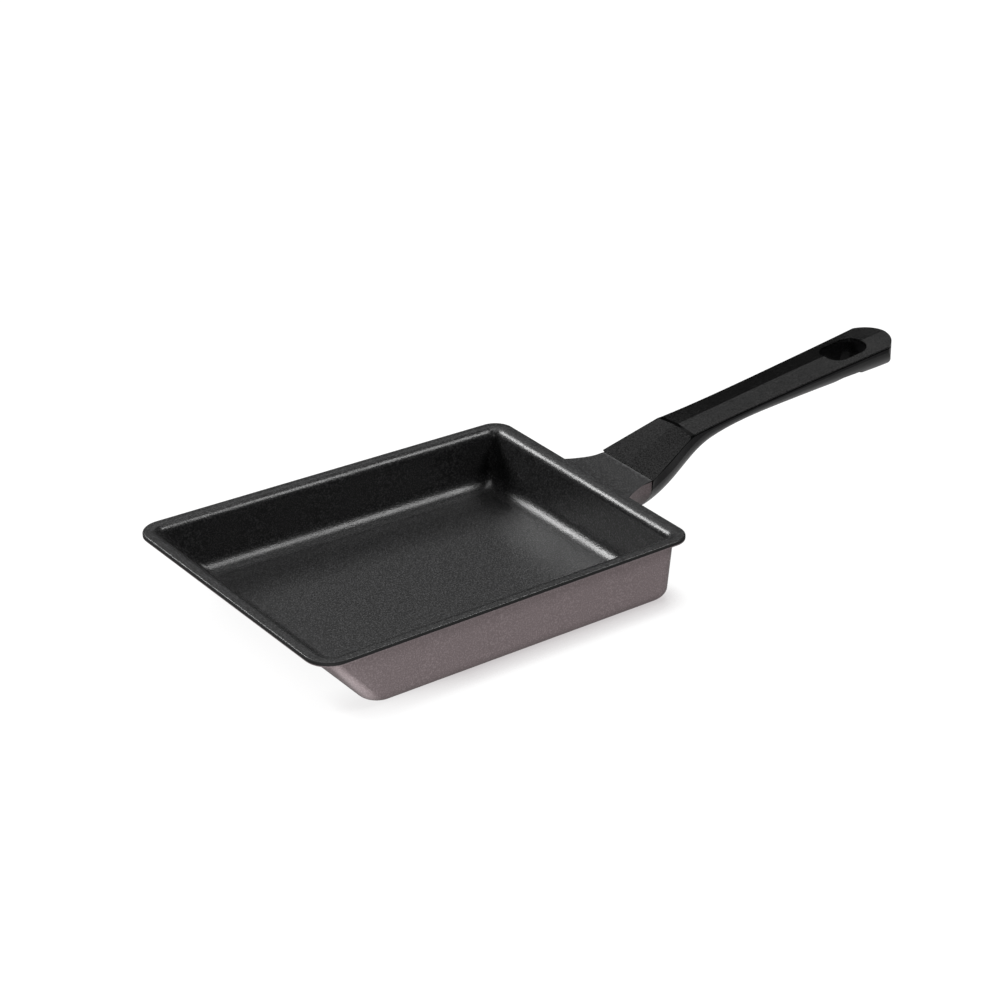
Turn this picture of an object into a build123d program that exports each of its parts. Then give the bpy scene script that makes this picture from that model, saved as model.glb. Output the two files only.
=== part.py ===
from build123d import *
import math
import os

os.makedirs("parts", exist_ok=True)

# The origin is under the middle of the base, on the surface that the pan stands on.
# X runs from the sloped far end towards the handle, Y across the pan and Z up.

# Cast pan
rim_length = 190.6
rim_width_far = 149.0
rim_width_near = 141.8
rim_height = 30.8
rim_near_corner_radius = 9.2
rim_far_corner_radius = 11.2
lip_height = 2.2
lip_edge_radius = 0.8
lip_foot_radius = 0.4
rim_roll_radius = 3.9
rim_side_width = 6.8
rim_near_width = 7.2
rim_far_width = 5.6
under_rim_radius = 1.3
base_thickness = 3.6
wall_thickness = 2.5
side_draft = 0.3
near_draft = 6.4
far_draft = 40.8
floor_radius = 7.5
base_radius = 6.3
far_base_radius = 16.0
mouth_corner_radius = 3.5

# Bracket, cast in one with the rim
bracket_length = 19.1
bracket_width = 36.8
bracket_drop = 1.0
bracket_reveal = 0.35
bracket_depth = 20.6
flare_width = 51.8

# Tongue of the bracket, inside the handle
tongue_angle = 24.0
tongue_width = 14.0
tongue_thickness = 8.0
tongue_length = 20.0
tongue_root = 6.0
tongue_below_top = 8.2
tongue_edge_radius = 1.5
socket_clearance = 0.3
screw_station = 10.0

# Handle
handle_length = 149.4
front_length = 25.6
front_rise = 10.6
front_step = 0.8
bevel_length = 2.3
bevel_rise = 0.9
grip_rise = 14.65
bend_width = 23.9
grip_width = 21.6
tip_width = 25.5
seam_ridge_rise = 0.3
bend_ridge_rise = 1.3
ridge_rise = 1.4
front_side_share = 0.28
grip_side_share = 0.18
seam_foot_share = 0.955
shoulder_shares = [(0.90, 0.24), (0.70, 0.53)]
tip_height = 15.8
tip_arc_rise = 7.6
tip_corner_radius = 4.0
tip_foot_radius = 5.0
front_gap = 0.15
cover_edge = 0.6
groove_height = 0.6
groove_depth = 0.6
peg_diameter = 3.0
peg_length = 4.0
peg_clearance = 0.1
front_peg_share = 0.27
front_peg_side = 11.0
grip_peg_shares = [0.18, 0.41, 0.645, 0.945]
hole_length = 22.4
hole_width = 16.4
hole_corner_radius = 7.0
hole_draft = 4.7
hole_from_tip = 25.0

# Screw and its washers
screw_diameter = 4.0
screw_length = 11.6
head_diameter = 8.0
head_height = 2.6
head_edge_radius = 0.9
recess_width = 4.4
recess_slot = 1.1
recess_depth = 1.5
screw_tip_chamfer = 0.6
thread_clearance = 0.05
shank_clearance = 0.25
flat_washer_diameter = 9.0
flat_washer_thickness = 0.8
spring_washer_diameter = 7.6
spring_washer_thickness = 1.0
spring_washer_split = 0.9
washer_bore = 4.3
seat_wall = 1.9
counterbore_clearance = 0.4

# One overrun lets every cutter pass the faces that it cuts
overrun = 5.0

side_slope = math.radians(side_draft)
near_slope = math.radians(near_draft)
far_slope = math.radians(far_draft)
near_inset = rim_near_width - wall_thickness / math.cos(near_slope) + rim_height * math.tan(near_slope)
far_inset = rim_far_width - wall_thickness / math.cos(far_slope) + rim_height * math.tan(far_slope)
base_end_x = (rim_length - near_inset - far_inset) / 2
rim_near_x = base_end_x + near_inset
rim_far_x = -base_end_x - far_inset
floor_z = base_thickness
seam_x = rim_near_x + bracket_length
seam_top_z = rim_height - bracket_drop
side_taper = (rim_width_far - rim_width_near) / 2 / rim_length


def rim_half_width(x):
    return rim_width_near / 2 + (rim_near_x - x) * side_taper


def pan_outline(z, far_x, near_x, side_inset, far_corner, near_corner):
    """Tapered rectangle with rounded corners, at height z, its sides parallel to the rim's."""
    far_half = rim_half_width(far_x) - side_inset
    near_half = rim_half_width(near_x) - side_inset
    with BuildSketch(Plane.XY.offset(z)) as outline:
        with BuildLine():
            Polyline(
                (far_x, -far_half),
                (near_x, -near_half),
                (near_x, near_half),
                (far_x, far_half),
                close=True,
            )
        make_face()
        fillet(outline.vertices().group_by(Axis.X)[0], radius=far_corner)
        fillet(outline.vertices().group_by(Axis.X)[-1], radius=near_corner)
    return outline.sketch


def foot_cut(up, slope, radius):
    """How far the rounding at a wall's foot stands inside the wall's own plane, at this height."""
    if up >= radius * (1 - math.sin(slope)):
        return 0
    tangent_reach = radius * math.cos(slope) / (1 + math.sin(slope))
    return tangent_reach + up * math.tan(slope) - math.sqrt(2 * radius * up - up * up)


def wall_outline(z, thickness, foot_z, radius, far_radius):
    """Outline at height z of the wall's face this far outside its inner face."""
    drop = rim_height - z
    up = z - foot_z
    near_in = rim_near_width - thickness / math.cos(near_slope) + drop * math.tan(near_slope)
    far_in = rim_far_width - thickness / math.cos(far_slope) + drop * math.tan(far_slope)
    side_in = rim_side_width - thickness / math.cos(side_slope) + drop * math.tan(side_slope)
    corner = mouth_corner_radius + thickness
    return pan_outline(
        z,
        rim_far_x + far_in + foot_cut(up, far_slope, far_radius),
        rim_near_x - near_in - foot_cut(up, near_slope, radius),
        side_in + foot_cut(up, side_slope, radius),
        corner,
        corner,
    )


def tub(thickness, foot_z, radius, far_radius):
    """Solid tub from its foot to the rim: rounded foot first, straight walls above it."""
    steps = 7
    turns = [math.pi / 2 * step / (steps - 1) for step in range(steps)]
    levels = [foot_z + radius * (1 - math.cos(turn)) for turn in turns]
    foot = [wall_outline(z, thickness, foot_z, radius, far_radius) for z in levels]
    top = wall_outline(rim_height, thickness, foot_z, radius, far_radius)
    with BuildPart() as form:
        loft(foot)
        loft([foot[-1], top], ruled=True)
    return form.part


# The handle's edge runs straight up the front, up the bevel at the bend, and along the grip.
front_x = seam_x + front_gap
bend_x = front_x + front_length
grip_x = bend_x + bevel_length
tip_x = seam_x + handle_length
front_z = seam_top_z + front_step
bend_z = front_z + front_rise
grip_z = bend_z + bevel_rise
tip_z = grip_z + grip_rise
ceiling = tip_z + overrun

# Stations of the front: share of its length, and depth beside the bracket's
front_shares = [(0.0, 1.02), (0.3, 1.127), (0.64, 1.127), (1.0, 1.055)]

# Stations of the grip: share of its length, width beside its slimmest, depth beside the
# bracket's, and rise of the ridge beside its highest
grip_shares = [
    (0.00, 1.075, 0.98, 0.60),
    (0.05, 1.045, 0.78, 0.62),
    (0.14, 1.014, 0.57, 0.72),
    (0.31, 1.008, 0.495, 0.85),
    (0.50, 1.045, 0.545, 1.00),
    (0.70, 1.100, 0.625, 0.90),
    (0.88, 1.165, 0.715, 0.55),
    (1.05, 1.230, 0.76, 0.35),
]


def between(start, end, share):
    return start + share * (end - start)


def edge_z(x):
    """Height of the handle's edge at x, on the front or on the grip."""
    if x < bend_x:
        return between(front_z, bend_z, (x - front_x) / front_length)
    return between(grip_z, tip_z, (x - grip_x) / (tip_x - grip_x))


def rounded_underside(half, side_z, low_z):
    """Round underside of a section, slimmer at its shoulders than half an ellipse."""
    near = [(half * across, side_z - (side_z - low_z) * down) for across, down in shoulder_shares]
    far = [(-y, z) for y, z in reversed(near)]
    Spline((half, side_z), *near, (0, low_z), *far, (-half, side_z))


def handle_section(x, half, foot_half, side_height, depth, ridge):
    """Section across the handle: two sloped facets on top, upright sides and a round underside."""
    top_z = edge_z(x)
    side_z = top_z - side_height
    with BuildSketch(Plane.YZ.offset(x)) as section:
        with BuildLine():
            Polyline(
                (-foot_half, side_z),
                (-half, top_z),
                (0, top_z + ridge),
                (half, top_z),
                (foot_half, side_z),
            )
            rounded_underside(foot_half, side_z, top_z - depth)
        make_face()
    return section.sketch


def front_section(shares, inset):
    share, depth_share = shares
    half = between(bracket_width, bend_width, share) / 2
    foot_half = half * between(seam_foot_share, 1, share)
    depth = depth_share * bracket_depth
    ridge = between(seam_ridge_rise, bend_ridge_rise, share)
    x = between(front_x, bend_x, share)
    side_height = front_side_share * depth
    return handle_section(x, half - inset, foot_half - inset, side_height, depth - inset, ridge)


def grip_section(shares, inset):
    share, width_share, depth_share, ridge_share = shares
    half = width_share * grip_width / 2 - inset
    depth = depth_share * bracket_depth
    x = between(grip_x, tip_x, share)
    side_height = grip_side_share * depth
    return handle_section(x, half, half, side_height, depth - inset, ridge_share * ridge_rise)


def tip_outline(inset):
    """Block that gives the handle its arc-shaped tip and the tip's rounded foot."""
    end_x = tip_x - inset
    corner_x = end_x - tip_arc_rise
    tip_half = tip_width / 2 - inset
    foot_z = tip_z - tip_height + inset
    with BuildPart() as block:
        with BuildSketch(Plane.XY) as plan:
            with BuildLine():
                ThreePointArc((corner_x, -tip_half), (end_x, 0), (corner_x, tip_half))
                Polyline(
                    (corner_x, tip_half),
                    (seam_x, bracket_width),
                    (seam_x, -bracket_width),
                    (corner_x, -tip_half),
                )
            make_face()
            fillet(plan.vertices().group_by(Axis.X)[-1], radius=tip_corner_radius)
        extrude(amount=ceiling)
        with BuildSketch(Plane.XZ) as side:
            with BuildLine():
                Polyline(
                    (end_x - tip_foot_radius, foot_z),
                    (end_x - tip_foot_radius, 0),
                    (seam_x, 0),
                    (seam_x, ceiling),
                    (end_x, ceiling),
                    (end_x, foot_z + tip_foot_radius),
                )
                RadiusArc(
                    (end_x, foot_z + tip_foot_radius),
                    (end_x - tip_foot_radius, foot_z),
                    tip_foot_radius,
                )
            make_face()
        extrude(amount=bracket_width, both=True, mode=Mode.INTERSECT)
    return block.part


def body_form(inset):
    """The handle's sides and underside as one smooth form, past the bend without a step."""
    with BuildPart() as form:
        front = [front_section(shares, inset) for shares in front_shares]
        grip = [grip_section(shares, inset) for shares in grip_shares[1:]]
        loft(front + grip)
        add(tip_outline(inset), mode=Mode.INTERSECT)
    return form.part


def cover_form():
    """The handle with its top as flat facets: the straight front, the bevel and the grip."""
    front = [front_section(shares, 0) for shares in (front_shares[0], front_shares[-1])]
    grip = [grip_section(shares, 0) for shares in grip_shares]
    with BuildPart() as form:
        loft(front, ruled=True)
        loft([front[-1], grip[0]], ruled=True)
        loft(grip)
        add(tip_outline(0), mode=Mode.INTERSECT)
    return form.part


def above_parting(drop):
    """Everything above a line this far below the handle's edge, as one wide block."""
    end_x = tip_x + overrun
    places = [front_x, bend_x, grip_x, end_x]
    heights = [front_z, bend_z, grip_z, edge_z(end_x)]
    low = [(x, z - drop) for x, z in zip(places, heights)]
    with BuildPart() as block:
        with BuildSketch(Plane.XZ):
            with BuildLine():
                Polyline(
                    (front_x - overrun, low[0][1]),
                    *low,
                    (end_x, ceiling + overrun),
                    (front_x - overrun, ceiling + overrun),
                    close=True,
                )
            make_face()
        extrude(amount=bracket_width, both=True)
    return block.part


# The tongue's own plane: its normal runs up the tongue, its y axis across the pan.
tongue_slope = math.radians(tongue_angle)
tongue_start = Vector(seam_x, 0, seam_top_z - tongue_below_top)
tongue_plane = Plane(
    origin=tongue_start,
    x_dir=(math.sin(tongue_slope), 0, -math.cos(tongue_slope)),
    z_dir=(math.cos(tongue_slope), 0, math.sin(tongue_slope)),
)
screw_middle = tongue_start + tongue_plane.z_dir * screw_station
screw_up = tongue_plane.x_dir * -1
tongue_axis = Axis(screw_middle, screw_up)


def screw_plane(down):
    """Plane square to the screw, this far below the middle of the tongue, facing up the screw."""
    return Plane(origin=screw_middle - screw_up * down, x_dir=(0, 1, 0), z_dir=screw_up)


seat_down = tongue_thickness / 2 + socket_clearance + seat_wall
spring_seat_down = seat_down + flat_washer_thickness
head_seat_down = spring_seat_down + spring_washer_thickness

# Stations of the bracket from the pan's wall to the seam: place, half width and depth.
flare_growth = (flare_width - bracket_width) / 2
bracket_shares = [
    (-0.40, 1.70, 1.30),
    (-0.15, 1.28, 1.16),
    (0.00, 1.00, 1.09),
    (0.10, 0.81, 1.06),
    (0.25, 0.58, 1.03),
    (0.42, 0.37, 1.01),
    (0.63, 0.15, 1.00),
    (0.84, 0.04, 1.00),
    (1.00, 0.00, 1.00),
]


def bracket_section(shares):
    """Flat-topped section with upright sides and a round underside, like the handle's front."""
    top_z = rim_height + overrun
    half = bracket_width / 2 + shares[1] * flare_growth - bracket_reveal
    side_z = seam_top_z - front_side_share * bracket_depth
    side_half = half * seam_foot_share
    low_z = seam_top_z - shares[2] * bracket_depth + bracket_reveal
    with BuildSketch(Plane.YZ.offset(rim_near_x + shares[0] * bracket_length)) as section:
        with BuildLine():
            Polyline((-side_half, side_z), (-half, top_z), (half, top_z), (side_half, side_z))
            rounded_underside(side_half, side_z, low_z)
        make_face()
    return section.sketch


# The bracket's top leaves the rim's lip just above the lip's foot and curves up to the seam.
root_top_z = rim_height - lip_height + lip_foot_radius

with BuildPart() as bracket:
    loft([bracket_section(shares) for shares in bracket_shares])
    with BuildSketch(Plane.XZ) as above_bracket:
        with BuildLine():
            TangentArc((rim_near_x, root_top_z), (seam_x, seam_top_z), tangent=(1, 0))
            Polyline(
                (seam_x, seam_top_z),
                (seam_x + overrun, seam_top_z),
                (seam_x + overrun, rim_height + 2 * overrun),
                (rim_near_x - bracket_length, rim_height + 2 * overrun),
                (rim_near_x - bracket_length, root_top_z),
                (rim_near_x, root_top_z),
            )
        make_face()
    extrude(amount=flare_width, both=True, mode=Mode.SUBTRACT)


def inside_rim(edge):
    """Whether an edge runs around the wall, inside the rim's own outline."""
    place = edge.center()
    along = rim_far_x + rim_far_width / 2 < place.X < rim_near_x - rim_near_width / 2
    return along and abs(place.Y) < rim_half_width(place.X) - rim_side_width / 2


# Tapped hole for the screw, through the tongue from below
tap_radius = screw_diameter / 2 + thread_clearance

with BuildPart() as pan_body:
    add(tub(wall_thickness, 0, base_radius, far_base_radius))
    with BuildPart(mode=Mode.PRIVATE) as rim:
        add(
            pan_outline(
                rim_height - lip_height,
                rim_far_x,
                rim_near_x,
                0,
                rim_far_corner_radius,
                rim_near_corner_radius,
            )
        )
        extrude(amount=lip_height)
        fillet(rim.faces().sort_by(Axis.Z)[-1].edges(), radius=lip_edge_radius)
        fillet(rim.faces().sort_by(Axis.Z)[0].edges(), radius=lip_foot_radius)
    add(rim.part)
    under_rim = pan_body.edges().filter_by_position(
        Axis.Z, rim_height - lip_height, rim_height - lip_height
    )
    fillet(under_rim.filter_by(inside_rim), radius=under_rim_radius)
    add(bracket.part)
    add(tub(0, floor_z, floor_radius, floor_radius), mode=Mode.SUBTRACT)
    rim_top = pan_body.edges().filter_by_position(Axis.Z, rim_height, rim_height)
    fillet(rim_top.filter_by(inside_rim), radius=rim_roll_radius)
    with BuildSketch(tongue_plane.offset(-tongue_root)) as tongue_section:
        RectangleRounded(tongue_thickness, tongue_width, tongue_edge_radius)
    extrude(amount=tongue_root + tongue_length)
    with BuildSketch(screw_plane(tongue_thickness / 2 + overrun)) as tap:
        Circle(tap_radius)
    extrude(amount=tongue_thickness + 2 * overrun, mode=Mode.SUBTRACT)
pan_body.part.label = "pan_body"
export_step(pan_body.part, "parts/pan_body.step")

# The cover's pegs stand in blind holes of the handle: two side by side in the front, then a row.
peg_places = [
    (between(front_x, bend_x, front_peg_share), -front_peg_side),
    (between(front_x, bend_x, front_peg_share), front_peg_side),
] + [(between(grip_x, tip_x, share), 0) for share in grip_peg_shares]


def pegs(radius, length):
    """Upright pins under the cover, from inside it down to this far below the parting."""
    with BuildPart() as pins:
        for x, y in peg_places:
            with BuildSketch(Plane.XY.offset(edge_z(x) - cover_edge - length)):
                with Locations((x, y)):
                    Circle(radius)
            extrude(amount=length + cover_edge)
    return pins.part


# The hanging hole is straight at the top and narrows a little on its way down.
hole_x = tip_x - hole_from_tip
hole_top = Plane(origin=(hole_x, 0, edge_z(hole_x)), x_dir=(1, 0, 0), z_dir=(0, 0, -1))

with BuildPart() as hole_cutter:
    with BuildSketch(hole_top) as hole_outline:
        RectangleRounded(hole_length, hole_width, hole_corner_radius)
    extrude(hole_outline.sketch, amount=tip_height + overrun, taper=hole_draft)
    extrude(hole_outline.sketch, amount=-2 * overrun)

with BuildPart() as handle_body:
    add(body_form(0))
    add(above_parting(cover_edge + groove_height), mode=Mode.SUBTRACT)
    with BuildPart(mode=Mode.PRIVATE) as neck:
        add(body_form(groove_depth))
        add(above_parting(cover_edge), mode=Mode.SUBTRACT)
    add(neck.part)
    add(hole_cutter.part, mode=Mode.SUBTRACT)
    add(pegs(peg_diameter / 2 + peg_clearance, peg_length + peg_clearance), mode=Mode.SUBTRACT)
    with BuildSketch(tongue_plane.offset(-overrun)):
        RectangleRounded(
            tongue_thickness + 2 * socket_clearance,
            tongue_width + 2 * socket_clearance,
            tongue_edge_radius + socket_clearance,
        )
    extrude(amount=overrun + tongue_length + socket_clearance, mode=Mode.SUBTRACT)
    with BuildSketch(screw_plane(seat_down)):
        Circle(flat_washer_diameter / 2 + counterbore_clearance)
    extrude(amount=-(head_height + 2 * overrun), mode=Mode.SUBTRACT)
    with BuildSketch(screw_plane(seat_down + overrun)):
        Circle(screw_diameter / 2 + shank_clearance)
    extrude(amount=seat_down + overrun, mode=Mode.SUBTRACT)
handle_body.part.label = "handle_body"
export_step(handle_body.part, "parts/handle_body.step")

with BuildPart() as handle_cover:
    add(above_parting(cover_edge))
    add(pegs(peg_diameter / 2, peg_length))
    add(cover_form(), mode=Mode.INTERSECT)
    add(hole_cutter.part, mode=Mode.SUBTRACT)
handle_cover.part.label = "handle_cover"
export_step(handle_cover.part, "parts/handle_cover.step")

with BuildPart() as fixing_screw:
    with BuildSketch(screw_plane(head_seat_down)):
        Circle(screw_diameter / 2)
    extrude(amount=screw_length)
    chamfer(fixing_screw.faces().sort_by(tongue_axis)[-1].edges(), length=screw_tip_chamfer)
    with BuildSketch(screw_plane(head_seat_down)):
        Circle(head_diameter / 2)
    extrude(amount=-head_height)
    fillet(fixing_screw.faces().sort_by(tongue_axis)[0].edges(), radius=head_edge_radius)
    with BuildSketch(screw_plane(head_seat_down + head_height)):
        Rectangle(recess_width, recess_slot)
        Rectangle(recess_slot, recess_width)
    extrude(amount=recess_depth, mode=Mode.SUBTRACT)
fixing_screw.part.label = "fixing_screw"
export_step(fixing_screw.part, "parts/fixing_screw.step")

with BuildPart() as spring_washer:
    with BuildSketch(screw_plane(head_seat_down)):
        Circle(spring_washer_diameter / 2)
        Circle(washer_bore / 2, mode=Mode.SUBTRACT)
        with Locations((0, spring_washer_diameter / 2)):
            Rectangle(spring_washer_split, spring_washer_diameter, mode=Mode.SUBTRACT)
    extrude(amount=spring_washer_thickness)
spring_washer.part.label = "spring_washer"
export_step(spring_washer.part, "parts/spring_washer.step")

with BuildPart() as flat_washer:
    with BuildSketch(screw_plane(spring_seat_down)):
        Circle(flat_washer_diameter / 2)
        Circle(washer_bore / 2, mode=Mode.SUBTRACT)
    extrude(amount=flat_washer_thickness)
flat_washer.part.label = "flat_washer"
export_step(flat_washer.part, "parts/flat_washer.step")
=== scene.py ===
import math

import bpy
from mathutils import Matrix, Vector

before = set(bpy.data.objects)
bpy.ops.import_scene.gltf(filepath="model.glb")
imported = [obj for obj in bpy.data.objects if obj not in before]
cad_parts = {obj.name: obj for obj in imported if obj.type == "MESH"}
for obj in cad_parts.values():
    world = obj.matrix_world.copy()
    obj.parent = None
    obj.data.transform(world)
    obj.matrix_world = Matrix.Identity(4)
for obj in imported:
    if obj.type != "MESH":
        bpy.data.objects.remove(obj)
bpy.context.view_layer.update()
print("frame loaded:", sorted(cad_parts))


# the camera comes first, so that every look is judged from the photo's side
photoView = {
    "place": (-0.68514, -1.00600, 0.65866),
    "azimuth": -35.574,
    "elevation": 26.827,
    "lens": 115.30,
    "sensor": 36,
    "shift": (-0.0005, 0.0005),
    "farClip": 20,
}


def addCamera(view):
    bpy.ops.object.camera_add(location=view["place"])
    camera = bpy.context.object
    camera.name = "photoCamera"
    camera.rotation_euler = (math.radians(90 - view["elevation"]), 0, math.radians(view["azimuth"]))
    camera.data.sensor_width = view["sensor"]
    camera.data.lens = view["lens"]
    camera.data.shift_x, camera.data.shift_y = view["shift"]
    camera.data.clip_end = view["farClip"]
    bpy.context.scene.camera = camera


addCamera(photoView)
print("camera placed")


# helpers that place and join nodes
def freshMaterial(name):
    material = bpy.data.materials.new(name)
    material.use_nodes = True
    material.node_tree.nodes.clear()
    return material


def addNode(tree, kind, **settings):
    node = tree.nodes.new(kind)
    for key, value in settings.items():
        setattr(node, key, value)
    return node


def feed(tree, socket, value):
    if isinstance(value, bpy.types.NodeSocket):
        tree.links.new(value, socket)
    else:
        socket.default_value = value


def mixColours(tree, share, first, second):
    mix = addNode(tree, "ShaderNodeMix", data_type="RGBA")
    for number, value in ((0, share), (6, first), (7, second)):  # a Mix node's colour sockets
        feed(tree, mix.inputs[number], value)
    return mix.outputs[2]


def mixNumbers(tree, share, first, second):
    mix = addNode(tree, "ShaderNodeMix")
    for number, value in ((0, share), (2, first), (3, second)):  # a Mix node's number sockets
        feed(tree, mix.inputs[number], value)
    return mix.outputs[0]


def doMath(tree, operation, *values, clamp=False):
    node = addNode(tree, "ShaderNodeMath", operation=operation, use_clamp=clamp)
    for socket, value in zip(node.inputs, values):
        feed(tree, socket, value)
    return node.outputs[0]


def mapValue(tree, value, fromEnds, toEnds=(0, 1)):
    node = addNode(tree, "ShaderNodeMapRange")
    tree.links.new(value, node.inputs["Value"])
    for name, end in zip(("From Min", "From Max", "To Min", "To Max"), (*fromEnds, *toEnds)):
        node.inputs[name].default_value = end
    return node.outputs["Result"]


def splitPlace(tree, place):
    split = addNode(tree, "ShaderNodeSeparateXYZ")
    tree.links.new(place, split.inputs[0])
    return split.outputs


# the grain of both coats and the mouldings: fine specks, soft clouds and a height for bump
grainPlan = {
    "speckDetail": 0.5,
    "speckRoughness": 0.6,
    "cloudDetail": 4,
    "cloudHeight": 0.3,
    "spread": (0.3, 0.7),
}


def buildGrain(plan):
    group = bpy.data.node_groups.new("coatGrain", "ShaderNodeTree")
    group.interface.new_socket("Place", in_out="INPUT", socket_type="NodeSocketVector")
    for name in ("Speck Scale", "Cloud Scale"):
        group.interface.new_socket(name, in_out="INPUT", socket_type="NodeSocketFloat")
    for name in ("Speck", "Cloud", "Height"):
        group.interface.new_socket(name, in_out="OUTPUT", socket_type="NodeSocketFloat")
    entry = addNode(group, "NodeGroupInput")
    leave = addNode(group, "NodeGroupOutput")
    speck = addNode(group, "ShaderNodeTexNoise")
    speck.inputs["Detail"].default_value = plan["speckDetail"]
    speck.inputs["Roughness"].default_value = plan["speckRoughness"]
    cloud = addNode(group, "ShaderNodeTexNoise")
    cloud.inputs["Detail"].default_value = plan["cloudDetail"]
    for name, noise in (("Speck", speck), ("Cloud", cloud)):
        group.links.new(entry.outputs["Place"], noise.inputs["Vector"])
        group.links.new(entry.outputs[name + " Scale"], noise.inputs["Scale"])
        group.links.new(mapValue(group, noise.outputs["Fac"], plan["spread"]), leave.inputs[name])
    height = doMath(group, "MULTIPLY_ADD", cloud.outputs["Fac"], plan["cloudHeight"], speck.outputs["Fac"])
    group.links.new(height, leave.inputs["Height"])
    return group


grainGroup = buildGrain(grainPlan)


def addGrain(tree, place, look):
    grain = addNode(tree, "ShaderNodeGroup", node_tree=grainGroup)
    tree.links.new(place, grain.inputs["Place"])
    grain.inputs["Speck Scale"].default_value = look["speckScale"]
    grain.inputs["Cloud Scale"].default_value = look["cloudScale"]
    return grain.outputs


def addFinish(tree, look, grain, colour, roughness, metal):
    shader = addNode(tree, "ShaderNodeBsdfPrincipled")
    shader.inputs["Specular IOR Level"].default_value = look["specular"]
    for name, value in (("Base Color", colour), ("Roughness", roughness), ("Metallic", metal)):
        feed(tree, shader.inputs[name], value)
    bump = addNode(tree, "ShaderNodeBump")
    bump.inputs["Strength"].default_value = look["bumpStrength"]
    bump.inputs["Distance"].default_value = look["bumpDistance"]
    tree.links.new(grain["Height"], bump.inputs["Height"])
    tree.links.new(bump.outputs["Normal"], shader.inputs["Normal"])
    output = addNode(tree, "ShaderNodeOutputMaterial")
    tree.links.new(shader.outputs["BSDF"], output.inputs["Surface"])


# the pan is one casting, with a dark coat inside and a taupe coat outside
panLook = {
    "insideDark": (0.0055, 0.0056, 0.0057, 1),
    "insideSpeck": (0.050, 0.050, 0.051, 1),
    "insideRoughness": (0.29, 0.35),
    "outsideDark": (0.200, 0.162, 0.166, 1),
    "outsideSpeck": (0.285, 0.236, 0.242, 1),
    "outsideRoughness": (0.42, 0.52),
    "outsideMetal": 0.45,
    # the lip's colour and metal are painted shade: they darken the lip's diffuse and its reflection
    "lipShadeColour": (0.014, 0.014, 0.0142, 1),
    "lipRoughness": 0.7,
    "lipShadeMetal": 0.6,
    "lipCoatEnd": (0.0291, 0.0294),
    "maskCentre": (0, 0, 0.1),
    "maskBlur": (-0.004, 0.004),
    "specular": 0.5,
    "speckPower": 2.2,
    "speckScale": 1600,
    "cloudScale": 45,
    "bumpStrength": 0.7,
    "bumpDistance": 0.00011,
}


def maskPan(tree, where, look):
    # a face turned away from a point above the pan's floor is on the outside
    away = addNode(tree, "ShaderNodeVectorMath", operation="SUBTRACT")
    tree.links.new(where["Object"], away.inputs[0])
    away.inputs[1].default_value = look["maskCentre"]
    facing = addNode(tree, "ShaderNodeVectorMath", operation="DOT_PRODUCT")
    tree.links.new(away.outputs["Vector"], facing.inputs[0])
    tree.links.new(where["Normal"], facing.inputs[1])
    turned = mapValue(tree, facing.outputs["Value"], look["maskBlur"])
    below = mapValue(tree, splitPlace(tree, where["Object"])["Z"], look["lipCoatEnd"], (1, 0))
    outside = doMath(tree, "MULTIPLY", below, turned)
    return outside, doMath(tree, "SUBTRACT", turned, outside)


def makePanCoats(look):
    material = freshMaterial("panCoats")
    tree = material.node_tree
    where = addNode(tree, "ShaderNodeTexCoord").outputs
    outside, lip = maskPan(tree, where, look)
    grain = addGrain(tree, where["Object"], look)
    speck = doMath(tree, "POWER", grain["Speck"], look["speckPower"])
    inColour = mixColours(tree, speck, look["insideDark"], look["insideSpeck"])
    outColour = mixColours(tree, speck, look["outsideDark"], look["outsideSpeck"])
    inRough = mapValue(tree, grain["Cloud"], (0, 1), look["insideRoughness"])
    outRough = mapValue(tree, grain["Cloud"], (0, 1), look["outsideRoughness"])
    # the dark coat wraps over the lip; there it is rougher, and its colour and reflection are darkened as
    # painted shade that keeps the highlight off the lip's edge
    colour = mixColours(tree, lip, mixColours(tree, outside, inColour, outColour), look["lipShadeColour"])
    rough = mixNumbers(tree, lip, mixNumbers(tree, outside, inRough, outRough), look["lipRoughness"])
    metal = mixNumbers(tree, lip, doMath(tree, "MULTIPLY", outside, look["outsideMetal"]), look["lipShadeMetal"])
    addFinish(tree, look, grain, colour, rough, metal)
    return material


# the handle's glossy moulding
glossLook = {
    "dark": (0.0035, 0.0035, 0.0037, 1),
    "pale": (0.0065, 0.0065, 0.0068, 1),
    "metal": 0,
    "specular": 0.2,
    "roughness": (0.16, 0.24),
    "speckScale": 900,
    "cloudScale": 70,
    "bumpStrength": 0.06,
    "bumpDistance": 0.00005,
}

# the fastener under it is plated steel
steelLook = {
    "dark": (0.42, 0.43, 0.44, 1),
    "pale": (0.66, 0.66, 0.65, 1),
    "metal": 1,
    "specular": 0.5,
    "roughness": (0.22, 0.38),
    "speckScale": 1500,
    "cloudScale": 400,
    "bumpStrength": 0.15,
    "bumpDistance": 0.00004,
}


def makeEven(name, look):
    material = freshMaterial(name)
    tree = material.node_tree
    grain = addGrain(tree, addNode(tree, "ShaderNodeTexCoord").outputs["Object"], look)
    colour = mixColours(tree, grain["Speck"], look["dark"], look["pale"])
    rough = mapValue(tree, grain["Cloud"], (0, 1), look["roughness"])
    addFinish(tree, look, grain, colour, rough, look["metal"])
    return material


# the handle's cover has fine dull specks, and its narrow bevel at the bend is painted nearly black as
# painted shade
coverLook = {
    "dark": (0.0006, 0.0006, 0.0006, 1),
    "pale": (0.0072, 0.0072, 0.0073, 1),
    "dullSpecks": (0.78, 0),
    "specular": 0.46,
    "roughness": (0.13, 0.17),
    "speckScale": 1900,
    "cloudScale": 90,
    "bumpStrength": 0.35,
    "bumpDistance": 0.00008,
    "bevelFrom": 0.12985,
    "bevelTo": 0.13205,
    "bevelShadeColour": (0.0005, 0.0005, 0.0005, 1),
    "bevelRoughness": 0.12,
}


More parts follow.
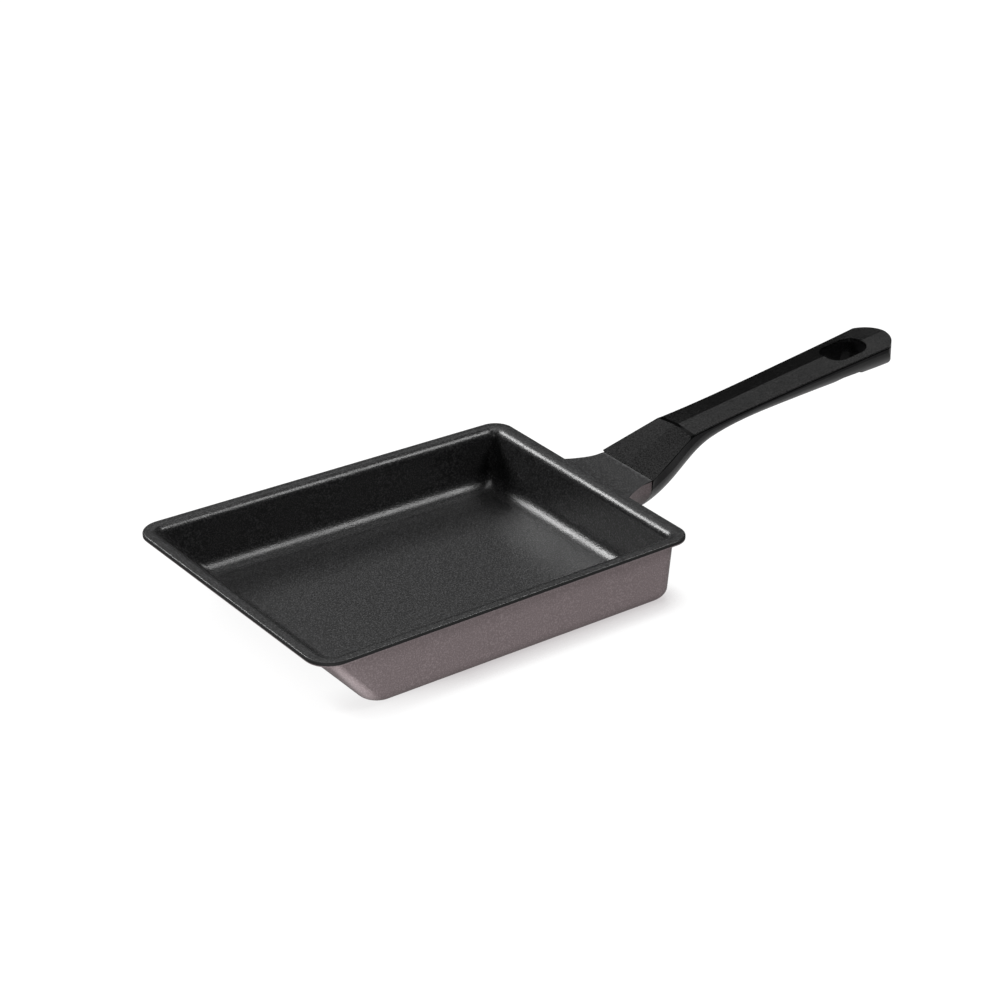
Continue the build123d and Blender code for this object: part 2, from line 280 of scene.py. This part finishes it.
def makeCover(look):
    material = freshMaterial("handleMatte")
    tree = material.node_tree
    place = addNode(tree, "ShaderNodeTexCoord").outputs["Object"]
    along = splitPlace(tree, place)["X"]
    # this mask marks painted shade at the bend: a near-black colour and a black metallic reflection stand
    # in for the shade there
    bevelShade = doMath(tree, "MULTIPLY", doMath(tree, "GREATER_THAN", along, look["bevelFrom"]),
                   doMath(tree, "LESS_THAN", along, look["bevelTo"]))
    grain = addGrain(tree, place, look)
    colour = mixColours(tree, grain["Speck"], look["dark"], look["pale"])
    rough = mapValue(tree, grain["Cloud"], (0, 1), look["roughness"])
    dull = mapValue(tree, grain["Speck"], (0, 1), look["dullSpecks"])
    addFinish(tree, look, grain,
              mixColours(tree, bevelShade, colour, look["bevelShadeColour"]),
              mixNumbers(tree, bevelShade, rough, look["bevelRoughness"]),
              mixNumbers(tree, bevelShade, dull, 1))
    return material


finishes = {
    "pan_body": makePanCoats(panLook),
    "handle_body": makeEven("handleGloss", glossLook),
    "handle_cover": makeCover(coverLook),
    "steel": makeEven("platedSteel", steelLook),
}
for node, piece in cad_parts.items():
    for slot in piece.material_slots:
        slot.material = finishes.get(node, finishes["steel"])
print("finishes on the CAD nodes")


# the floor glows for the camera, so that it looks white while the lamps stay low
floorPlan = {
    "size": 8,
    "colour": (0.12, 0.118, 0.118, 1),
    "cloudColour": (0.15, 0.15, 0.15, 1),
    "cloudScale": 3,
    "cloudShare": 0.3,
    "lift": 0.93,
    "mirrored": 0.25,
    "bounced": 0.15,
    # the glow patch: a painted highlight source in the floor, seen only in reflections
    "glowPatchPlace": (-0.091, -0.078, 0),
    "glowPatchReach": (0.020, 0.009),
    "glowPatchLevel": 2.4,
    "contactReach": 0.011,
    "contactSamples": 4,
    "contactGain": 2,
    "contactSide": (-0.06, -0.045),
    "contactEnd": (-0.075, -0.03),
    "contactEndShare": 0.3,
    "contactShade": (0.62, 0.595, 0.60, 1),
}


def shadeContact(tree, place, plan):
    # the light comes from behind, so the contact shadow lies along the near long side
    near = addNode(tree, "ShaderNodeAmbientOcclusion", samples=plan["contactSamples"])
    near.inputs["Distance"].default_value = plan["contactReach"]
    parts = splitPlace(tree, place)
    side = doMath(tree, "MULTIPLY", mapValue(tree, parts["Y"], plan["contactSide"], (1, 0)),
                  mapValue(tree, parts["X"], plan["contactEnd"], (plan["contactEndShare"], 1)))
    closeBy = doMath(tree, "SUBTRACT", 1, near.outputs["AO"], clamp=True)
    closeBy = doMath(tree, "MULTIPLY", closeBy, plan["contactGain"], clamp=True)
    return mixColours(tree, doMath(tree, "MULTIPLY", side, closeBy), (1, 1, 1, 1), plan["contactShade"])


def setGlow(tree, place, plan):
    path = addNode(tree, "ShaderNodeLightPath").outputs
    # a painted glow patch in the floor beside the near left corner, seen only in reflections, puts a
    # painted highlight on that corner
    glowPatch = addNode(tree, "ShaderNodeVectorMath", operation="DISTANCE")
    tree.links.new(place, glowPatch.inputs[0])
    glowPatch.inputs[1].default_value = plan["glowPatchPlace"]
    glint = mapValue(tree, glowPatch.outputs["Value"], plan["glowPatchReach"], (plan["mirrored"], plan["glowPatchLevel"]))
    mirrored = doMath(tree, "MAXIMUM", path["Is Glossy Ray"], path["Is Transmission Ray"])
    mirrored = doMath(tree, "MULTIPLY", mirrored, glint)
    bounced = doMath(tree, "MULTIPLY", path["Is Diffuse Ray"], plan["bounced"])
    seen = doMath(tree, "MAXIMUM", path["Is Camera Ray"], doMath(tree, "MAXIMUM", mirrored, bounced))
    return doMath(tree, "MULTIPLY", seen, plan["lift"])


def makeFloor(plan):
    bpy.ops.mesh.primitive_plane_add(size=plan["size"], location=(0, 0, 0))
    floor = bpy.context.object
    floor.name = "floor"
    material = freshMaterial("paleFloor")
    tree = material.node_tree
    place = addNode(tree, "ShaderNodeTexCoord").outputs["Object"]
    cloud = addNode(tree, "ShaderNodeTexNoise")
    cloud.inputs["Scale"].default_value = plan["cloudScale"]
    tree.links.new(place, cloud.inputs["Vector"])
    share = mapValue(tree, cloud.outputs["Fac"], (0, 1), (0, plan["cloudShare"]))
    diffuse = addNode(tree, "ShaderNodeBsdfDiffuse")
    tree.links.new(mixColours(tree, share, plan["colour"], plan["cloudColour"]), diffuse.inputs["Color"])
    glow = addNode(tree, "ShaderNodeEmission")
    tree.links.new(shadeContact(tree, place, plan), glow.inputs["Color"])
    tree.links.new(setGlow(tree, place, plan), glow.inputs["Strength"])
    both = addNode(tree, "ShaderNodeAddShader")
    tree.links.new(diffuse.outputs["BSDF"], both.inputs[0])
    tree.links.new(glow.outputs["Emission"], both.inputs[1])
    output = addNode(tree, "ShaderNodeOutputMaterial")
    tree.links.new(both.outputs["Shader"], output.inputs["Surface"])
    floor.data.materials.append(material)


makeFloor(floorPlan)
print("floor laid")

# each lamp: the direction its light comes from, distance, width, height, and share of a full white level
studioLights = {
    "topBox": {"from": (-0.05, 0.05, 1.0), "away": 1.5, "wide": 1.0, "tall": 0.9, "share": 0.32},
    "backLeftBox": {"from": (-0.42, 0.71, 0.58), "away": 1.4, "wide": 0.6, "tall": 0.5, "share": 0.95},
    "backPanel": {"from": (0.24, 0.66, 0.74), "away": 1.5, "wide": 1.3, "tall": 0.9, "share": 0.1},
    "frontRightBox": {"from": (0.48, -0.48, 0.73), "away": 1.4, "wide": 0.5, "tall": 0.5, "share": 0.48},
    "leftBox": {"from": (-0.6, -0.75, 0.006), "away": 1.4, "wide": 0.7, "tall": 0.06, "share": 0.75},
}
lightsAim = (0.03, 0, 0.02)


def addLights(lights, aim):
    for name, light in lights.items():
        towards = Vector(light["from"]).normalized()
        bpy.ops.object.light_add(type="AREA", location=towards * light["away"] + Vector(aim))
        lamp = bpy.context.object
        lamp.name = name
        lamp.rotation_euler = towards.to_track_quat("Z", "Y").to_euler()
        lamp.data.shape = "RECTANGLE"
        lamp.data.size = light["wide"]
        lamp.data.size_y = light["tall"]
        lamp.data.energy = light["share"] * math.pi ** 2 * light["away"] ** 2


# the world is white behind the object, dim in reflections and a weak light from all round
studioWorld = {"ambient": 0.1, "mirrored": 0.03}


def makeWorld(levels):
    world = bpy.data.worlds.new("studio")
    bpy.context.scene.world = world
    world.use_nodes = True
    tree = world.node_tree
    path = addNode(tree, "ShaderNodeLightPath").outputs
    unseen = mapValue(tree, path["Is Glossy Ray"], (0, 1), (levels["ambient"], levels["mirrored"]))
    seen = doMath(tree, "MAXIMUM", path["Is Camera Ray"], path["Is Transmission Ray"])
    background = tree.nodes["Background"]
    background.inputs["Color"].default_value = (1, 1, 1, 1)
    tree.links.new(doMath(tree, "MAXIMUM", seen, unseen), background.inputs["Strength"])


addLights(studioLights, lightsAim)
makeWorld(studioWorld)
bpy.context.scene.view_settings.view_transform = "Standard"
print("lights and world set")
